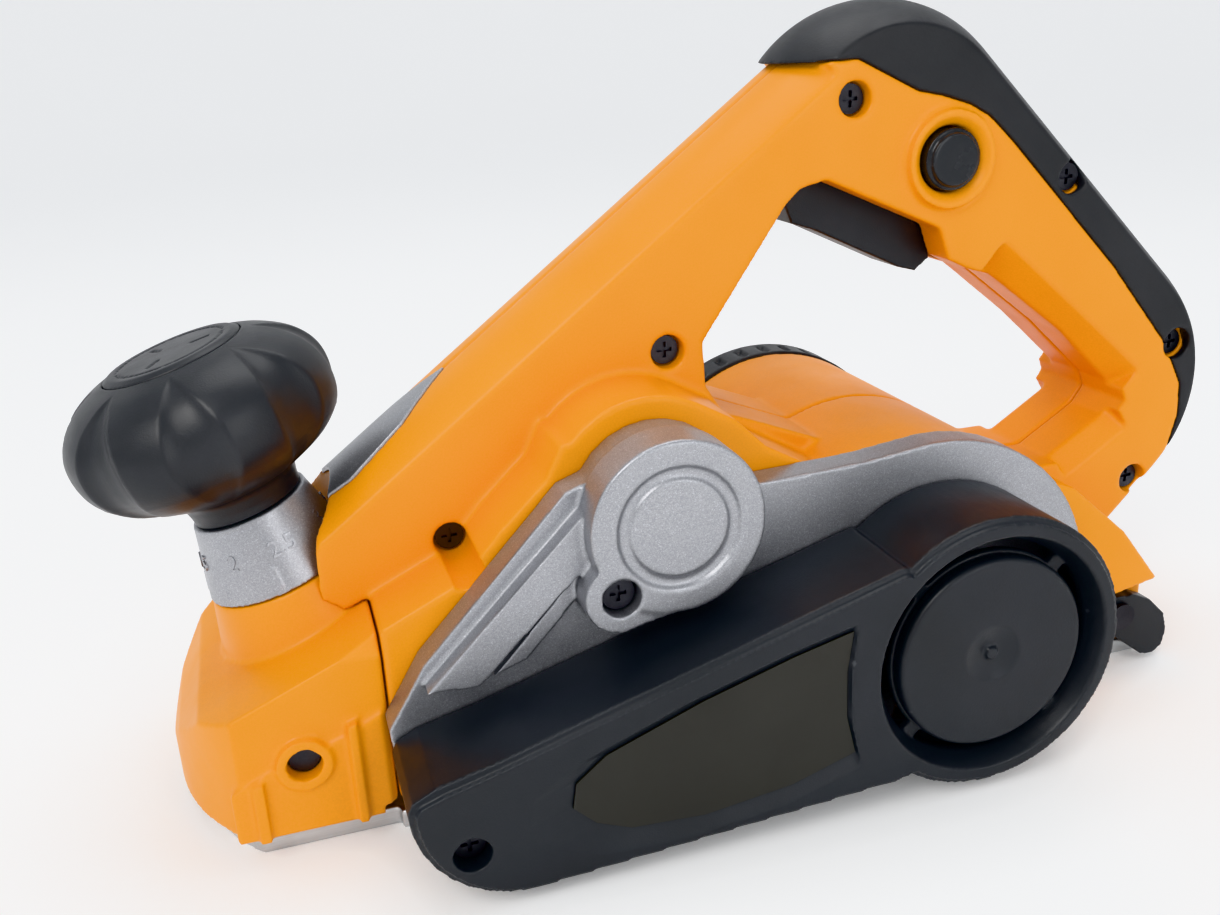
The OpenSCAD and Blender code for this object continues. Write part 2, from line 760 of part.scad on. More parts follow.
module drum_pulley() {
  color(alu) grooved(drum_x, drum_z, drum_pulley_r, belt_y0 - 0.2, belt_y1 + 0.2);
}

module belt_edge(d) {
  L = norm([motor_x - drum_x, motor_z - drum_z]);
  t = atan2(motor_z - drum_z, motor_x - drum_x);
  b = asin((drum_pulley_r - motor_pulley_r) / L);
  polygon(concat(arc(drum_x, drum_z, drum_pulley_r + d, t + 90 - b, t + 270 + b, 40),
    arc(motor_x, motor_z, motor_pulley_r + d, t - 90 + b, t + 90 - b, 40)));
}

module drive_belt() {
  color([0.06, 0.06, 0.06]) xz(belt_y0 + 0.4, belt_y1 - 0.4) difference() {
    belt_edge(2.1);
    belt_edge(0.12);
  }
}

// nut that holds a pulley on its shaft end
module shaft_nut(x, z) {
  difference() {
    translate([x, belt_y0 - 1.45, z]) rotate([90, 0, 0]) cylinder(r = 7.6, h = 2.2, $fn = 6);
    ycyl(x, z, stub_r + 0.02, -76, -60);
  }
}

module drum_pulley_nut() {
  color(steel) shaft_nut(drum_x, drum_z);
}

module motor_pulley_nut() {
  color(steel) shaft_nut(motor_x, motor_z);
}

// ---------- cutter drum ----------
module around_drum(i) {
  translate([drum_x, 0, drum_z]) rotate([0, 180 * i - 30, 0]) children();
}

module cutter_drum() {
  color(alu) difference() {
    ycyl(drum_x, drum_z, drum_r, -half_w + 0.6, half_w - 0.6);
    ycyl(drum_x, drum_z, shaft_r + 0.02, -half_w - ov, half_w + ov);
    for (i = [0, 1]) around_drum(i) {
      translate([10.05, -half_w - ov, 8]) cube([8.9, sole_w + 2 * ov, 20]);
      translate([2, -half_w - ov, 20.4]) cube([8.1, sole_w + 2 * ov, 8]);
    }
  }
}

// height of the blade edge above the drum axis, on the swept circle
edge_x = 10.1;
edge_z = sqrt(cut_r * cut_r - edge_x * edge_x);

module blades() {
  color([0.80, 0.81, 0.83]) for (i = [0, 1]) around_drum(i)
    xz(-half_w + 0.6, half_w - 0.6) polygon([[edge_x, 13.5], [edge_x, edge_z],
      [edge_x + 1.1, edge_z - 0.8], [edge_x + 1.1, 13.5]]);
}

module blade_clamps() {
  color(steel) for (i = [0, 1]) around_drum(i) difference() {
    xz(-half_w + 1, half_w - 1) polygon([[11.25, 8.1], [11.25, 19.6], [16.6, 16.4], [18.9, 12.6],
      [18.9, 8.1]]);
    for (y = [-28, 0, 28]) translate([16.6, y, 11.6]) rotate([0, 90, 0]) cylinder(r = 3.05, h = 6);
  }
}

module blade_screws() {
  color(steel) for (i = [0, 1]) for (y = [-28, 0, 28]) around_drum(i) translate([16.62, y, 11.6])
    rotate([0, 90, 0]) difference() {
      cylinder(r = 3, h = 2.2);
      translate([0, 0, 1.1]) cylinder(r = 1.5, h = 3, $fn = 6);
    }
}

module drum_shaft() {
  color(steel) {
    ycyl(drum_x, drum_z, shaft_r, -57.2, 49.6);
    ycyl(drum_x, drum_z, stub_r, stub_end, -57.2);
    ycyl(drum_x, drum_z, 7.4, -41.5, -40.42);
    ycyl(drum_x, drum_z, 7.4, 40.42, 41.65);
  }
}

module bearing_y(x, z, ro, ri, y0, w) {
  difference() {
    ycyl(x, z, ro, y0, y0 + w);
    ycyl(x, z, ri, y0 - ov, y0 + w + ov);
    for (y = [y0 - ov, y0 + w - 0.6]) ytube(x, z, ro - 2.2, ri + 2.2, y, y + 0.6 + ov);
  }
}

module drum_bearings() {
  color(steel) {
    bearing_y(drum_x, drum_z, 13, shaft_r + 0.02, -49.15, 7.6);
    bearing_y(drum_x, drum_z, 13, shaft_r + 0.02, 41.7, 7);
  }
}

module drum_end_cap() {
  color(black) difference() {
    union() {
      ycyl(drum_x, drum_z + 2, 20, 50.05, 52.4);
      ycone(drum_x, drum_z + 2, 20, 18, 52.4, 53.6);
    }
    translate([drum_x, 53.6, drum_z + 2]) rotate([-90, 0, 0]) translate([0, 0, -0.8]) difference() {
      cylinder(r = 13, h = 3);
      cylinder(r = 11.4, h = 3);
    }
  }
}

// ---------- motor ----------
module armature_shaft() {
  color(steel) {
    ycyl(motor_x, motor_z, shaft_r - 1, -57.2, 61);
    ycyl(motor_x, motor_z, stub_r, stub_end, -57.2);
  }
}

module motor_ring(ro, ri, y0, y1) {
  ytube(motor_x, motor_z, ro, ri, y0, y1);
}

module armature_core() {
  color([0.45, 0.45, 0.47]) difference() {
    motor_ring(core_r, shaft_r - 0.98, -17, 21);
    for (i = [0:11]) translate([motor_x, 0, motor_z]) rotate([0, i * 30, 0])
      translate([core_r - 4, -18, -0.8]) cube([6, 40, 1.6]);
  }
}

module armature_windings() {
  color(copper) {
    motor_ring(core_r - 3, shaft_r + 1, -24, -17.05);
    motor_ring(core_r - 3, shaft_r + 1, 21.05, 27);
  }
}

module commutator() {
  color(copper) difference() {
    motor_ring(11, shaft_r - 0.98, 28, 42);
    for (i = [0:23]) translate([motor_x, 0, motor_z]) rotate([0, i * 15, 0])
      translate([10, 27, -0.25]) cube([2, 16, 0.5]);
  }
}

module fan() {
  color([0.15, 0.15, 0.16]) {
    motor_ring(29, shaft_r - 0.98, -28, -26.4);
    motor_ring(9, shaft_r - 0.98, -36, -27);
    for (i = [0:15]) translate([motor_x, 0, motor_z]) rotate([0, i * 22.5, 0])
      translate([8.5, -36, -0.6]) cube([20, 8.5, 1.2]);
  }
}

module motor_bearings() {
  color(steel) {
    bearing_y(motor_x, motor_z, 13, shaft_r - 0.98, -53.8, bear_w);
    bearing_y(motor_x, motor_z, 11, shaft_r - 0.98, 52.6, 7);
  }
}

module stator_core() {
  color([0.40, 0.40, 0.42]) difference() {
    motor_ring(30, core_r + 0.8, -16, 20);
    for (s = [-1, 1]) translate([motor_x + s * 22.8, 0, motor_z]) cube([7, 60, 24], center = true);
  }
}

module field_coils() {
  color(copper) for (s = [-1, 1]) translate([motor_x + s * 22.8, 2, motor_z]) difference() {
    cube([6.4, 48, 23], center = true);
    cube([12, 37, 13], center = true);
  }
}

module brush_line(s) {
  translate([motor_x, 34, motor_z]) rotate([0, s * 90 - 25, 0]) children();
}

module brush_holders() {
  color([0.65, 0.52, 0.25]) for (s = [-1, 1]) brush_line(s) difference() {
    translate([0, 0, 17]) cylinder(r = 6, h = 20.95);
    translate([-2.6, -4.1, 10]) cube([5.2, 8.2, 40]);
  }
}

module carbon_brushes() {
  color([0.18, 0.18, 0.18]) for (s = [-1, 1]) brush_line(s) translate([-2.5, -4, 11.6])
    cube([5, 8, 17]);
}

module brush_caps() {
  color(black) for (s = [-1, 1]) brush_line(s) difference() {
    translate([0, 0, 38]) cylinder(r = 6, h = 6.4);
    translate([-0.6, -5, 43.2]) cube([1.2, 10, 3]);
  }
}

module motor_end_cap() {
  color(black) difference() {
    union() {
      ycyl(motor_x, motor_z, barrel_r + 0.6, 52.3, 64);
      ycone(motor_x, motor_z, barrel_r + 0.6, barrel_r - 4, 64, 68);
    }
    intersection() {
      ycyl(motor_x, motor_z, barrel_r - 3, 51, 63);
      translate([-20, 40, 7.6]) cube([200, 60, 120]);
    }
    translate([-20, 40, -20]) cube([200, 60, 24]);
    // radial air slots and the ribbed rim
    for (i = [0:17]) translate([motor_x, 0, motor_z]) rotate([0, i * 20, 0])
      translate([20, 60, -1.6]) cube([17, 12, 3.2]);
    for (i = [0:35]) translate([motor_x, 0, motor_z]) rotate([0, i * 10, 0])
      translate([barrel_r - 0.6, 54, -1.2]) cube([4, 7, 2.4]);
    for (a = end_a) end_screw_at(a) {
      cylinder(r = 1.8, h = 40);
      translate([0, 0, 15]) cylinder(r = 3.6, h = 20);
    }
  }
  color(black) difference() {
    union() {
      ytube(motor_x, motor_z, 14, 11.02, 52.4, 64);
      for (a = end_a) end_screw_at(a) translate([0, 0, 7.8]) difference() {
        cylinder(r = 5, h = 9);
        translate([0, 0, -ov]) cylinder(r = 1.8, h = 30);
        translate([0, 0, 7.2]) cylinder(r = 3.6, h = 20);
      }
    }
  }
}

module end_cap_screws() {
  color(steel) for (a = end_a) end_screw_at(a) {
    translate([0, 0, 15.02]) cylinder(r = 3.2, h = 2.2);
    translate([0, 0, 1]) cylinder(r = 1.35, h = 15);
  }
}

// ---------- switch, trigger, lock ----------
module trigger() {
  color(black) xz(-8, 8) polygon([[32, 139], [33, 145], [38, 149.4], [76, 131.8], [75, 121],
    [71, 118], [66, 119.4], [40, 132], [34, 134]]);
}

module switch_body() {
  color([0.16, 0.16, 0.17]) xz(-11, 11) polygon([[47, 153.8], [54, 164.5], [64, 163.5],
    [64, 150.5], [61, 147.4]]);
}

module lock_button() {
  color(black) {
    ycyl(button_x, button_z, 3, -hw + 2, hw - 2);
    for (s = [-1, 1]) {
      ycyl(button_x, button_z, 7.9, s * (hw - 0.4) - 2.6, s * (hw - 0.4) + 2.6);
      ycyl(button_x, button_z, 6.6, s * (hw + 1.7) - 1.7, s * (hw + 1.7) + 1.7);
    }
  }
}

module handle_inlay() {
  color(silver) difference() {
    intersection() {
      inlay_leaf(0);
      arm_run(-0.3);
    }
    arm_run(1);
    ring_sweep();
  }
}

// leaf shape laid on the slope of the front arm
module inlay_leaf(d) {
  translate([arm_x0, 0, arm_z0]) rotate([0, -arm_a, 0]) linear_extrude(height = 12, center = true)
    offset(delta = d) polygon([[-5, -9], [8, -11.4], [26, -8.4], [43, 0], [26, 8.4], [8, 11.4], [-5, 9]]);
}

module handle_screws() {
  color(steel) for (p = well_pos) screw_y(p[0], p[1], 3.7, 1.5, -hw + 5.98, 22);
}

module cord_gland() {
  color([0.08, 0.08, 0.08]) translate([150, 7, 66]) rotate([0, 90, 0]) difference() {
    union() {
      cylinder(r = 8, h = 17);
      translate([0, 0, 14.6]) cylinder(r = 10, h = 4);
      translate([0, 0, 18.6]) cylinder(r1 = 8.4, r2 = 6.4, h = 3);
    }
    translate([0, 0, -ov]) cylinder(r = 3.9, h = 30);
  }
}

// ---------- rear foot ----------
foot_x = 124;
foot_z = 17;

module rear_foot() {
  color(black) difference() {
    xz(-39.6, -34.4) union() {
      translate([foot_x, foot_z]) circle(r = 6);
      polygon([[119.6, 20.6], [128, 23], [134.5, 20], [140, 14.5], [141.6, 9], [140.6, 4], [137.4, 1.6],
        [133.4, 2.2], [120.4, 12.2]]);
    }
    ycyl(foot_x, foot_z, 2.55, -42, -30);
  }
}

module foot_pin() {
  color(steel) {
    ycyl(foot_x, foot_z, 2.5, -40.2, -28);
    ycyl(foot_x, foot_z, 4, -41.2, -39.9);
  }
}

module chip_spout() {
  color(black) difference() {
    union() {
      ycyl(boss_x, boss_z, 20, 46.1, 60);
      ycyl(boss_x, boss_z, boss_r + 2, 46.1, 49);
      ycyl(boss_x, boss_z, 16.3, 40, 47);
    }
    ycyl(boss_x, boss_z, 14.5, 39, 62);
  }
}

module housing_screw() {
  color(steel) {
    for (s = [-1, 1]) ycyl(-107, 25, 3.6, s > 0 ? half_w - 3.9 : -half_w + 1.6,
      s > 0 ? half_w - 1.6 : -half_w + 3.9);
    ycyl(-107, 25, 1.5, -half_w + 3.6, -half_w + 12);
    ycyl(-107, 25, 1.5, half_w - 12, half_w - 3.6);
  }
}

left_shell();
right_shell();
grip_cover();
front_housing();
front_shoe();
rear_shoe();
depth_knob();
knob_cap();
depth_ring();
depth_spindle();
detent_washer();
frame_casting();
belt_cover();
cover_disc();
label_plate();
cover_screws();
motor_pulley();
drum_pulley();
drive_belt();
cutter_drum();
blades();
blade_clamps();
blade_screws();
drum_shaft();
drum_bearings();
drum_pulley_nut();
motor_pulley_nut();
armature_shaft();
armature_core();
armature_windings();
commutator();
fan();
motor_bearings();
stator_core();
field_coils();
brush_holders();
carbon_brushes();
brush_caps();
motor_end_cap();
end_cap_screws();
trigger();
switch_body();
lock_button();
handle_inlay();
handle_screws();
cord_gland();
rear_foot();
foot_pin();
chip_spout();
drum_end_cap();
shoe_screws();
housing_screw();
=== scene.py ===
"""Electric hand planer: materials, softened mouldings, fluted knob and ring figures, light and camera."""
import bpy, json, math
from mathutils import Matrix, Vector


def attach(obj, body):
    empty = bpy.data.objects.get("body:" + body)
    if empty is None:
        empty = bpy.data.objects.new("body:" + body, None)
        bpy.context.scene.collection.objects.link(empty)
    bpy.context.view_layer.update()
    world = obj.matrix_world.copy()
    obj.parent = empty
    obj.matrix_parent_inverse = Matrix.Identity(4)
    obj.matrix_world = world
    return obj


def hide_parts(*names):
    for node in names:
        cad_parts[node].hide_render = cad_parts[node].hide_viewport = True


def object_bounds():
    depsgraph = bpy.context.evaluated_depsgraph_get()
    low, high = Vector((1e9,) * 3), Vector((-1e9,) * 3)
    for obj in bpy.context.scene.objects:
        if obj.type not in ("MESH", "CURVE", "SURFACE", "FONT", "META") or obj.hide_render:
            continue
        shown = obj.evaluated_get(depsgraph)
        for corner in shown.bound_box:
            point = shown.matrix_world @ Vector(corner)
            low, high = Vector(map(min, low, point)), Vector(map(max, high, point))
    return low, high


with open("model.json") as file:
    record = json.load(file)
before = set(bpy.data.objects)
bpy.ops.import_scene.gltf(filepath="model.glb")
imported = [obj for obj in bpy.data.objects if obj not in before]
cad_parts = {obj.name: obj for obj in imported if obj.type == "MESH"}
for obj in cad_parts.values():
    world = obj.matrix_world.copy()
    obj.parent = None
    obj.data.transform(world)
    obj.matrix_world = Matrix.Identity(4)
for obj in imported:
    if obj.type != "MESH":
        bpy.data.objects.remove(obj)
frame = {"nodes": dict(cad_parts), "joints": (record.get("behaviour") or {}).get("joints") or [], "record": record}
cad_low, cad_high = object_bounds()
nodes = frame["nodes"]
scene = bpy.context.scene


# ---------------------------------------------------------------- materials
# how fine each texture is, in cells per metre
COLOUR_DRIFT = 28.0
RUBBED_PATCHES = 65.0
MOULD_WAVES = 120.0
PAINT_FLAKES = 5200.0
CAST_LUMPS = 1500.0
HANDLED_PATCHES = 70.0
METAL_GRAIN = 1800.0
METAL_STAINS = 45.0
FLOOR_CLOUDS = 3.0

FLAKE_GLINT = (0.54, 0.55, 0.58)


def link(tree, a, b):
    tree.links.new(a, b)


def node(tree, kind, **values):
    made = tree.nodes.new(kind)
    for key, value in values.items():
        if key in made.inputs:
            made.inputs[key].default_value = value
        else:
            setattr(made, key, value)
    return made


def noise(tree, co, scale, detail=3.0, rough=0.5):
    made = node(tree, "ShaderNodeTexNoise", Scale=scale, Detail=detail, Roughness=rough)
    link(tree, co, made.inputs["Vector"])
    return made.outputs["Fac"]


def ramp(tree, fac, *stops):
    made = tree.nodes.new("ShaderNodeValToRGB")
    elements = made.color_ramp.elements
    elements[0].position = stops[0][0]
    elements[1].position = stops[-1][0]
    for place, _ in stops[1:-1]:
        elements.new(place)
    for element, (place, colour) in zip(elements, stops):
        element.position = place
        element.color = (colour, colour, colour, 1) if isinstance(colour, float) else (*colour, 1)
    link(tree, fac, made.inputs["Fac"])
    return made.outputs["Color"]


def mix(tree, fac, a, b, blend="MIX"):
    made = node(tree, "ShaderNodeMix", data_type="RGBA", blend_type=blend)
    for socket, value in ((made.inputs[0], fac), (made.inputs[6], a), (made.inputs[7], b)):
        if isinstance(value, bpy.types.NodeSocket):
            link(tree, value, socket)
        else:
            socket.default_value = value if isinstance(value, float) else (*value, 1)
    return made.outputs[2]


def bump(tree, height, strength, distance, under=None):
    made = node(tree, "ShaderNodeBump", Strength=strength, Distance=distance)
    link(tree, height, made.inputs["Height"])
    if under is not None:
        link(tree, under, made.inputs["Normal"])
    return made.outputs["Normal"]


def start(name):
    made = bpy.data.materials.new(name)
    made.use_nodes = True
    tree = made.node_tree
    shader = tree.nodes["Principled BSDF"]
    co = tree.nodes.new("ShaderNodeTexCoord").outputs["Object"]
    return made, tree, shader, co


def edge_highlight_mask(tree):
    """White on sharp edges only: the mask of a painted highlight that lightens them."""
    sharpness = tree.nodes.new("ShaderNodeNewGeometry").outputs["Pointiness"]
    return ramp(tree, sharpness, (0.53, 0.0), (0.62, 1.0))


def plastic(name, base, dark, light, rough, grain=0.00045, depth=0.00005, strength=0.35, edge_highlight_colour=None):
    """Moulded plastic: fine grain, faint colour drift, rubbed patches and, where given, a painted highlight on
    sharp edges.
    """
    made, tree, shader, co = start(name)
    drift = noise(tree, co, COLOUR_DRIFT, 3.0)
    fine = noise(tree, co, 1.0 / grain, 2.0, 0.6)
    rubbed = noise(tree, co, RUBBED_PATCHES, 5.0, 0.62)
    colour = ramp(tree, drift, (0.30, dark), (0.52, base), (0.75, light))
    speck = ramp(tree, fine, (0.35, 0.93), (0.65, 1.0))
    colour = mix(tree, 1.0, colour, speck, "MULTIPLY")
    # painted highlight: sharp edges are mixed towards a lighter, bluish colour
    if edge_highlight_colour is not None:
        colour = mix(tree, edge_highlight_mask(tree), colour, edge_highlight_colour)
    link(tree, colour, shader.inputs["Base Color"])
    link(tree, ramp(tree, rubbed, (0.30, rough - 0.05), (0.72, rough + 0.08)), shader.inputs["Roughness"])
    waves = bump(tree, noise(tree, co, MOULD_WAVES, 2.0), 0.10, 0.0004)
    link(tree, bump(tree, fine, strength, depth, waves), shader.inputs["Normal"])
    return made


def flake_paint(name, dark, light, rough):
    """Silver paint with visible metallic flakes over a cast surface."""
    made, tree, shader, co = start(name)
    cells = node(tree, "ShaderNodeTexVoronoi", Scale=PAINT_FLAKES)
    link(tree, co, cells.inputs["Vector"])
    parts = tree.nodes.new("ShaderNodeSeparateColor")
    link(tree, cells.outputs["Color"], parts.inputs["Color"])
    flake = ramp(tree, parts.outputs["Red"], (0.0, dark), (0.9, light), (1.0, FLAKE_GLINT))
    cast = noise(tree, co, CAST_LUMPS, 2.0, 0.6)
    link(tree, flake, shader.inputs["Base Color"])
    handled = noise(tree, co, HANDLED_PATCHES, 4.0)
    link(tree, ramp(tree, handled, (0.3, rough - 0.05), (0.7, rough + 0.08)), shader.inputs["Roughness"])
    shader.inputs["Metallic"].default_value = 0.82
    lumps = bump(tree, cast, 0.35, 0.00005)
    link(tree, bump(tree, parts.outputs["Green"], 0.14, 0.00002, lumps), shader.inputs["Normal"])
    return made


def metal(name, dark, light, rough, lines=None):
    """Bare metal with faint stains, and with fine grain or machining lines along an axis."""
    made, tree, shader, co = start(name)
    if lines:
        stretch = node(tree, "ShaderNodeMapping")
        stretch.inputs["Scale"].default_value = lines
        link(tree, co, stretch.inputs["Vector"])
        fine = noise(tree, stretch.outputs["Vector"], 1.0, 4.0, 0.7)
    else:
        fine = noise(tree, co, METAL_GRAIN, 3.0, 0.6)
    stain = ramp(tree, noise(tree, co, METAL_STAINS, 4.0, 0.6), (0.3, dark), (0.7, light))
    colour = mix(tree, 1.0, stain, ramp(tree, fine, (0.3, 0.82), (0.7, 1.0)), "MULTIPLY")
    link(tree, colour, shader.inputs["Base Color"])
    link(tree, ramp(tree, fine, (0.25, rough - 0.07), (0.75, rough + 0.08)), shader.inputs["Roughness"])
    link(tree, bump(tree, fine, 0.5, 0.00002), shader.inputs["Normal"])
    shader.inputs["Metallic"].default_value = 1.0
    return made


yellow = plastic("yellow_plastic", (0.86, 0.315, 0.008), (0.82, 0.295, 0.006), (0.89, 0.332, 0.011), 0.40,
                 grain=0.0005, depth=0.00003, strength=0.22)
# black plastic: its edge colour is a painted highlight, lighter and bluish on sharp edges
black = plastic("black_plastic", (0.016, 0.0185, 0.023), (0.013, 0.015, 0.018), (0.021, 0.0235, 0.029),
                0.39, grain=0.00042, depth=0.00006, strength=0.5, edge_highlight_colour=(0.05, 0.053, 0.06))
gloss_black = plastic("gloss_black", (0.018, 0.020, 0.023), (0.015, 0.016, 0.019), (0.022, 0.024, 0.028),
                      0.24, grain=0.0008, depth=0.00002, strength=0.2)
soft_grip = plastic("soft_grip", (0.019, 0.020, 0.023), (0.015, 0.016, 0.018), (0.024, 0.025, 0.028), 0.47,
                    grain=0.0006, depth=0.00008, strength=0.5)
rubber = plastic("rubber_black", (0.014, 0.014, 0.015), (0.011, 0.011, 0.012), (0.02, 0.02, 0.02), 0.6)
plate = plastic("dark_plate", (0.022, 0.021, 0.016), (0.018, 0.017, 0.013), (0.027, 0.026, 0.020), 0.36,
                grain=0.0003, depth=0.00002, strength=0.25)
knob_black = plastic("knob_plastic", (0.024, 0.026, 0.030), (0.019, 0.021, 0.025), (0.030, 0.032, 0.037),
                     0.38, depth=0.00008, strength=0.55)
silver = flake_paint("silver_paint", (0.32, 0.325, 0.345), (0.42, 0.425, 0.45), 0.40)
cast_alu = metal("cast_aluminium", (0.56, 0.57, 0.58), (0.70, 0.71, 0.72), 0.34,
                 lines=(60.0, 2600.0, 2600.0))
steel = metal("steel", (0.40, 0.41, 0.43), (0.58, 0.59, 0.61), 0.32)
blued = metal("blued_steel", (0.05, 0.05, 0.055), (0.09, 0.09, 0.10), 0.38)
core_steel = metal("core_steel", (0.22, 0.22, 0.23), (0.33, 0.33, 0.34), 0.45,
                   lines=(300.0, 2400.0, 300.0))
copper = metal("copper", (0.55, 0.24, 0.10), (0.74, 0.38, 0.18), 0.32, lines=(300.0, 2600.0, 300.0))
brass = metal("brass", (0.55, 0.40, 0.15), (0.72, 0.55, 0.26), 0.34)
carbon = plastic("carbon", (0.03, 0.03, 0.032), (0.02, 0.02, 0.022), (0.045, 0.045, 0.048), 0.55)

BY_SLOT = {"yellow_plastic": yellow, "black_plastic": black, "gloss_black": gloss_black,
           "soft_grip": soft_grip, "rubber_black": rubber, "dark_plate": plate, "silver_paint": silver,
           "cast_aluminium": cast_alu, "copper": copper, "brass": brass, "carbon": carbon,
           "core_steel": core_steel, "steel": steel}
for part in frame["record"]["subparts"]:
    mesh = nodes[part["node"]].data
    mesh.materials.clear()
    mesh.materials.append(BY_SLOT[part["material_slot"]])
for name in ("depth_knob", "knob_cap"):
    nodes[name].data.materials[0] = knob_black
for name in ("cover_screws", "handle_screws", "shoe_screws", "housing_screw", "foot_pin"):
    nodes[name].data.materials[0] = blued


# ---------------------------------------------------------------- softened mouldings
# for each moulding, the cell of its skin in metres and the turns of relaxing
SOFTNESS = {
    "left_shell": (0.0007, 6), "right_shell": (0.0007, 6), "grip_cover": (0.0006, 6),
    "front_housing": (0.0006, 5), "frame_casting": (0.0005, 4), "belt_cover": (0.0005, 3),
    "trigger": (0.0005, 3), "rear_foot": (0.0004, 3), "lock_button": (0.0004, 3),
    "cover_disc": (0.0004, 3), "motor_end_cap": (0.0006, 3), "chip_spout": (0.0006, 3),
    "drum_end_cap": (0.0006, 3), "cord_gland": (0.0004, 3), "front_shoe": (0.0006, 3),
    "rear_shoe": (0.0006, 3), "handle_inlay": (0.0003, 3), "depth_ring": (0.0004, 3),
    "knob_cap": (0.00035, 3)}


def soften(name, cell, turns):
    """Rounds the edges of a moulding: an even skin over it, then relaxed."""
    skin = nodes[name].modifiers.new("skin", "REMESH")
    skin.mode = "VOXEL"
    skin.voxel_size = cell
    skin.use_smooth_shade = True
    relax = nodes[name].modifiers.new("relax", "SMOOTH")
    relax.factor = 0.5
    relax.iterations = turns


for name, (cell, turns) in SOFTNESS.items():
    soften(name, cell, turns)


# ---------------------------------------------------------------- depth knob
# angles and sizes of the knob; lengths in millimetres, heights from the origin of its joint
LEAN = math.radians(17)
KNOB_TURNS = 288
CURVE_STEPS = 9
FLUTES = 8
FLUTE_PITCH = 2 * math.pi / FLUTES
FLUTE_DEPTH = 2.1
FLUTE_HALF_WIDTH = math.radians(12.5)
FLUTE_TIP = 0.004
FLUTE_START = 0.26
FLUTE_SPAN = 0.70
SEAM_HEIGHT = 17.6
SEAM_HALF_WIDTH = 0.45
SEAM_RELIEF = 0.10

knob_turn = next(joint for joint in frame["joints"] if joint["name"] == "knob_turn")
knob_frame = Matrix.Translation(Vector(knob_turn["pos_m"])) @ Matrix.Rotation(-LEAN, 4, "Y")


def curve_through(points, steps):
    """Points of a smooth curve through the given ones."""
    made = []
    for i in range(len(points) - 1):
        a, b, c, d = (Vector(points[min(max(k, 0), len(points) - 1)]) for k in (i - 1, i, i + 1, i + 2))
        for k in range(steps):
            t = k / steps
            made.append(0.5 * (2 * b + (c - a) * t + (2 * a - 5 * b + 4 * c - d) * t * t
                               + (3 * b - a - 3 * c + d) * t ** 3))
    made.append(Vector(points[-1]))
    return made


def lathe_mesh(name, turns, verts):
    """A smooth object from rings of points, each ring with the same number of them."""
    faces = []
    for low in range(0, len(verts) - turns, turns):
        high = low + turns
        faces += [(low + k, low + (k + 1) % turns, high + (k + 1) % turns, high + k) for k in range(turns)]
    mesh = bpy.data.meshes.new(name)
    mesh.from_pydata(verts, [], faces)
    for face in mesh.polygons:
        face.use_smooth = True
    made = bpy.data.objects.new(name, mesh)
    scene.collection.objects.link(made)
    return made


def in_knob(r, angle, s):
    """A point at radius r and height s on the knob axis, in millimetres, as metres in the row frame."""
    return knob_frame @ (Vector((r * math.cos(angle), r * math.sin(angle), s)) / 1000)


def flute_cut(share, angle):
    """Depth of the lens-shaped flutes at a share of the skirt and an angle round it."""
    t = min(max((share - FLUTE_START) / FLUTE_SPAN, 0.0), 1.0)
    half_width = FLUTE_HALF_WIDTH * math.sin(math.pi * t) ** 0.75
    off = abs((angle + FLUTE_PITCH / 2) % FLUTE_PITCH - FLUTE_PITCH / 2)
    if half_width <= FLUTE_TIP or off >= half_width:
        return 0.0
    return FLUTE_DEPTH * (1 - (off / half_width) ** 2.6) * math.sin(math.pi * t) ** 0.6


# radius and height of the knob's outline, from its neck up to the seat of its cap
skirt = curve_through([(13.8, 2.1), (14.2, 5.0), (15.6, 8.2), (20.8, 10.5), (27.5, 14.2), (32.0, 19.4),
                       (33.4, 25.4), (32.5, 31.2), (28.9, 36.5), (23.3, 40.3), (17.8, 42.4)], CURVE_STEPS)
bore = Vector((4.3, 2.0))
seat = [Vector(point) for point in ((17.35, 42.5), (17.2, 42.0), (17.15, 41.2))]
verts = []
for i, point in enumerate([bore] + skirt + seat):
    share = (i - 1) / (len(skirt) - 1)
    seam = SEAM_RELIEF if abs(point.y - SEAM_HEIGHT) < SEAM_HALF_WIDTH else 0.0
    for k in range(KNOB_TURNS):
        angle = 2 * math.pi * k / KNOB_TURNS
        verts.append(in_knob(point.x - flute_cut(share, angle) + seam, angle, point.y))
knob = lathe_mesh("fluted_knob", KNOB_TURNS, verts)
knob.data.materials.append(knob_black)
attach(knob, "depth_adjuster")
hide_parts("depth_knob")


# ---------------------------------------------------------------- figures on the scale ring
# one for each half millimetre of depth; the ring is a cone, and sizes are in millimetres
FIGURES = ("0", "0.5", "1", "1.5", "2", "2.5", "3", "3.5")
FIRST_ANGLE = 60
FIGURE_RADIUS = 16.65
FIGURE_HEIGHT = -7.0
FIGURE_SIZE = 5.8
FIGURE_RELIEF = 0.28
RING_FOOT_R = 19.3
RING_TOP_R = 14.6
RING_TALL = 19.3

slant = math.atan2(RING_FOOT_R - RING_TOP_R, RING_TALL)
along = Vector((0, 0, 1))
for i, figure in enumerate(FIGURES):
    data = bpy.data.curves.new("figure_%d" % i, "FONT")
    data.body = figure
    data.size = FIGURE_SIZE / 1000
    data.extrude = FIGURE_RELIEF / 1000
    data.align_x = "CENTER"
    data.align_y = "CENTER"
    data.materials.append(silver)
    text = bpy.data.objects.new("figure_%d" % i, data)
    scene.collection.objects.link(text)
    angle = math.radians(FIRST_ANGLE + i * 360 / len(FIGURES))
    out = Vector((math.cos(angle), math.sin(angle), 0))
    up = along * math.cos(slant) - out * math.sin(slant)
    face = out * math.cos(slant) + along * math.sin(slant)
    lie = Matrix((up.cross(face), up, face)).transposed().to_4x4()
    place = (out * FIGURE_RADIUS + along * FIGURE_HEIGHT) / 1000
    text.matrix_world = knob_frame @ Matrix.Translation(place) @ lie
    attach(text, "depth_adjuster")


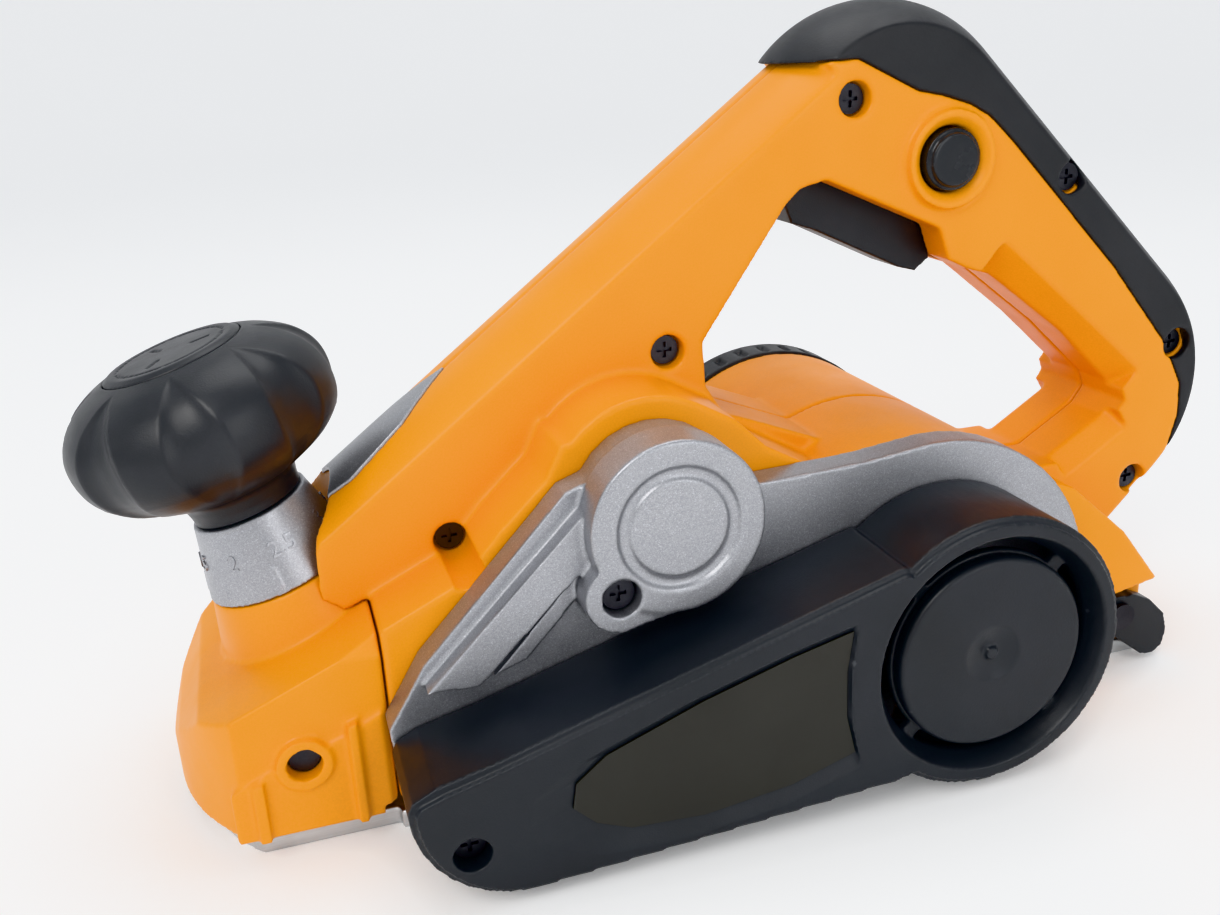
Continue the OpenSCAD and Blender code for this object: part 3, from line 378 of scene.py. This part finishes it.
# ---------------------------------------------------------------- floor, light, camera
# the floor is a round sweep: flat, then curving up into a wall all round, in metres
FLOOR_R = 1.9
SWEEP_R = 0.9
WALL_TOP = 2.2
SWEEP_STEPS = 16
FLOOR_TURNS = 96


def floor_material():
    made, tree, shader, co = start("floor")
    clouds = noise(tree, co, FLOOR_CLOUDS, 3.0)
    link(tree, ramp(tree, clouds, (0.3, 0.90), (0.7, 0.92)), shader.inputs["Base Color"])
    shader.inputs["Roughness"].default_value = 0.8
    shader.inputs["Emission Color"].default_value = (1, 1, 1, 1)
    shader.inputs["Emission Strength"].default_value = 0.14
    return made


bends = [math.pi / 2 * k / SWEEP_STEPS for k in range(1, SWEEP_STEPS + 1)]
rise = [(0.001, 0), (FLOOR_R, 0)]
rise += [(FLOOR_R + SWEEP_R * math.sin(bend), SWEEP_R - SWEEP_R * math.cos(bend)) for bend in bends]
rise += [(FLOOR_R + SWEEP_R, WALL_TOP)]
round_floor = [2 * math.pi * k / FLOOR_TURNS for k in range(FLOOR_TURNS)]
floor = lathe_mesh("floor", FLOOR_TURNS,
                   [(r * math.cos(a), r * math.sin(a), z) for r, z in rise for a in round_floor])
floor.data.materials.append(floor_material())

world = bpy.data.worlds.new("studio")
world.use_nodes = True
sky = world.node_tree.nodes["Background"]
sky.inputs["Color"].default_value = (0.93, 0.96, 1.0, 1)
sky.inputs["Strength"].default_value = 0.70
scene.world = world


def area(name, place, target, size, watts, colour=(1, 1, 1)):
    """A rectangular lamp that looks at its target."""
    data = bpy.data.lights.new(name, "AREA")
    data.shape = "RECTANGLE"
    data.size, data.size_y = size
    data.energy = watts
    data.color = colour
    made = bpy.data.objects.new(name, data)
    made.location = place
    made.rotation_euler = (Vector(target) - Vector(place)).to_track_quat("-Z", "Y").to_euler()
    scene.collection.objects.link(made)


centre = (cad_low + cad_high) / 2
area("key", (-0.65, -0.65, 0.95), centre, (0.6, 0.6), 6.0, (1.0, 0.98, 0.95))
area("window", (0.35, -0.95, 0.40), centre, (0.3, 0.7), 1.6)
area("top", (0.1, 0.25, 1.1), centre, (0.9, 0.6), 4.0)

# the camera's heading from +Y towards +X, its tilt down and its roll, in degrees
HEADING = 16.2736
TILT = 19.7868
ROLL = -2.8628
camera = bpy.data.objects.new("camera", bpy.data.cameras.new("camera"))
camera.data.sensor_width = 36.0
camera.data.lens = 34.607
camera.data.clip_start = 0.01
camera.matrix_world = (Matrix.Translation((-0.101, -0.290, 0.1827))
                       @ Matrix.Rotation(math.radians(-HEADING), 4, "Z")
                       @ Matrix.Rotation(math.radians(90 - TILT), 4, "X")
                       @ Matrix.Rotation(math.radians(ROLL), 4, "Z"))
scene.collection.objects.link(camera)
scene.camera = camera
scene.view_settings.view_transform = "Khronos PBR Neutral"
